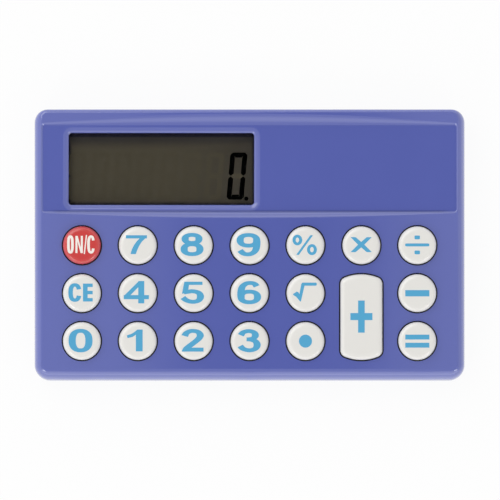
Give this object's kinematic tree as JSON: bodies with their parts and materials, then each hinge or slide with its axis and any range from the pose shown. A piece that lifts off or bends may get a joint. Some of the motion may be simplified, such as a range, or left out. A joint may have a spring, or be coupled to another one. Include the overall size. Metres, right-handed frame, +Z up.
{
  "type": "desk calculator",
  "caption": "Pocket-size desk calculator with a crowned two-shell case, recessed display panel, round dome keys with one tall key and a sliding battery door.",
  "frame": {"origin": "on the bench, under the middle of the case", "axes": "+X the user's right along the case's width, +Y away from the user to the display side, +Z up out of the keys"},
  "size_m": [0.0976, 0.0616, 0.0103],
  "materials": {
    "case_upper": "fine satin moulding, blue",
    "case_lower": "fine satin moulding, blue",
    "window": "clear polished acrylic",
    "display_film": "dark olive polariser film",
    "display_glass": "thin display glass",
    "reflector": "matt metallised film",
    "foam": "soft black foam",
    "zebra": "striped conducting rubber",
    "board": "green solder resist on laminate",
    "blob": "black epoxy",
    "chip": "ceramic chip capacitor with tinned ends",
    "mat": "grey silicone rubber",
    "steel": "bright steel",
    "cell": "nickel-plated steel",
    "contact": "plated spring brass",
    "foot": "black rubber",
    "key_cream": "satin cream moulding with cyan legend",
    "key_red": "satin red moulding with white legend",
    "carbon": "black carbon-loaded rubber"
  },
  "bodies": {
    "case": {"top_case": "case_upper", "bottom_case": "case_lower", "display_window": "window", "lcd_front_polariser": "display_film", "lcd_front_glass": "display_glass", "lcd_rear_glass": "display_glass", "lcd_reflector": "reflector", "lcd_foam_pad": "foam", "zebra_connector": "zebra", "circuit_board": "board", "chip_blob": "blob", "capacitors": "chip", "keypad_mat": "mat", "case_screws": "steel", "battery_cell": "cell", "battery_contact_positive": "contact", "battery_contact_negative": "contact", "rubber_feet": "foot"},
    "battery_door": {"battery_door": "case_lower"},
    "key_on_clear": {"key_on_clear": "key_red", "pill_on_clear": "carbon"},
    "key_7": {"key_7": "key_cream", "pill_7": "carbon"},
    "key_8": {"key_8": "key_cream", "pill_8": "carbon"},
    "key_9": {"key_9": "key_cream", "pill_9": "carbon"},
    "key_percent": {"key_percent": "key_cream", "pill_percent": "carbon"},
    "key_multiply": {"key_multiply": "key_cream", "pill_multiply": "carbon"},
    "key_divide": {"key_divide": "key_cream", "pill_divide": "carbon"},
    "key_clear_entry": {"key_clear_entry": "key_cream", "pill_clear_entry": "carbon"},
    "key_4": {"key_4": "key_cream", "pill_4": "carbon"},
    "key_5": {"key_5": "key_cream", "pill_5": "carbon"},
    "key_6": {"key_6": "key_cream", "pill_6": "carbon"},
    "key_root": {"key_root": "key_cream", "pill_root": "carbon"},
    "key_plus": {"key_plus": "key_cream", "pill_plus": "carbon"},
    "key_minus": {"key_minus": "key_cream", "pill_minus": "carbon"},
    "key_0": {"key_0": "key_cream", "pill_0": "carbon"},
    "key_1": {"key_1": "key_cream", "pill_1": "carbon"},
    "key_2": {"key_2": "key_cream", "pill_2": "carbon"},
    "key_3": {"key_3": "key_cream", "pill_3": "carbon"},
    "key_point": {"key_point": "key_cream", "pill_point": "carbon"},
    "key_equals": {"key_equals": "key_cream", "pill_equals": "carbon"}
  },
  "joints": [
    {"name": "battery_door_slide", "type": "slide", "parent": "case", "child": "battery_door", "axis": [0, 1, 0], "range_m": [0, 0.018]},
    {"name": "press_on_clear", "type": "slide", "parent": "case", "child": "key_on_clear", "axis": [0, 0, -1], "range_m": [0, 0.0008], "stiffness_N_per_m": 1250, "deforming": ["keypad_mat"]},
    {"name": "press_7", "type": "slide", "parent": "case", "child": "key_7", "axis": [0, 0, -1], "range_m": [0, 0.0008], "stiffness_N_per_m": 1250, "deforming": ["keypad_mat"]},
    {"name": "press_8", "type": "slide", "parent": "case", "child": "key_8", "axis": [0, 0, -1], "range_m": [0, 0.0008], "stiffness_N_per_m": 1250, "deforming": ["keypad_mat"]},
    {"name": "press_9", "type": "slide", "parent": "case", "child": "key_9", "axis": [0, 0, -1], "range_m": [0, 0.0008], "stiffness_N_per_m": 1250, "deforming": ["keypad_mat"]},
    {"name": "press_percent", "type": "slide", "parent": "case", "child": "key_percent", "axis": [0, 0, -1], "range_m": [0, 0.0008], "stiffness_N_per_m": 1250, "deforming": ["keypad_mat"]},
    {"name": "press_multiply", "type": "slide", "parent": "case", "child": "key_multiply", "axis": [0, 0, -1], "range_m": [0, 0.0008], "stiffness_N_per_m": 1250, "deforming": ["keypad_mat"]},
    {"name": "press_divide", "type": "slide", "parent": "case", "child": "key_divide", "axis": [0, 0, -1], "range_m": [0, 0.0008], "stiffness_N_per_m": 1250, "deforming": ["keypad_mat"]},
    {"name": "press_clear_entry", "type": "slide", "parent": "case", "child": "key_clear_entry", "axis": [0, 0, -1], "range_m": [0, 0.0008], "stiffness_N_per_m": 1250, "deforming": ["keypad_mat"]},
    {"name": "press_4", "type": "slide", "parent": "case", "child": "key_4", "axis": [0, 0, -1], "range_m": [0, 0.0008], "stiffness_N_per_m": 1250, "deforming": ["keypad_mat"]},
    {"name": "press_5", "type": "slide", "parent": "case", "child": "key_5", "axis": [0, 0, -1], "range_m": [0, 0.0008], "stiffness_N_per_m": 1250, "deforming": ["keypad_mat"]},
    {"name": "press_6", "type": "slide", "parent": "case", "child": "key_6", "axis": [0, 0, -1], "range_m": [0, 0.0008], "stiffness_N_per_m": 1250, "deforming": ["keypad_mat"]},
    {"name": "press_root", "type": "slide", "parent": "case", "child": "key_root", "axis": [0, 0, -1], "range_m": [0, 0.0008], "stiffness_N_per_m": 1250, "deforming": ["keypad_mat"]},
    {"name": "press_plus", "type": "slide", "parent": "case", "child": "key_plus", "axis": [0, 0, -1], "range_m": [0, 0.0008], "stiffness_N_per_m": 1250, "deforming": ["keypad_mat"]},
    {"name": "press_minus", "type": "slide", "parent": "case", "child": "key_minus", "axis": [0, 0, -1], "range_m": [0, 0.0008], "stiffness_N_per_m": 1250, "deforming": ["keypad_mat"]},
    {"name": "press_0", "type": "slide", "parent": "case", "child": "key_0", "axis": [0, 0, -1], "range_m": [0, 0.0008], "stiffness_N_per_m": 1250, "deforming": ["keypad_mat"]},
    {"name": "press_1", "type": "slide", "parent": "case", "child": "key_1", "axis": [0, 0, -1], "range_m": [0, 0.0008], "stiffness_N_per_m": 1250, "deforming": ["keypad_mat"]},
    {"name": "press_2", "type": "slide", "parent": "case", "child": "key_2", "axis": [0, 0, -1], "range_m": [0, 0.0008], "stiffness_N_per_m": 1250, "deforming": ["keypad_mat"]},
    {"name": "press_3", "type": "slide", "parent": "case", "child": "key_3", "axis": [0, 0, -1], "range_m": [0, 0.0008], "stiffness_N_per_m": 1250, "deforming": ["keypad_mat"]},
    {"name": "press_point", "type": "slide", "parent": "case", "child": "key_point", "axis": [0, 0, -1], "range_m": [0, 0.0008], "stiffness_N_per_m": 1250, "deforming": ["keypad_mat"]},
    {"name": "press_equals", "type": "slide", "parent": "case", "child": "key_equals", "axis": [0, 0, -1], "range_m": [0, 0.0008], "stiffness_N_per_m": 1250, "deforming": ["keypad_mat"]}
  ]
}
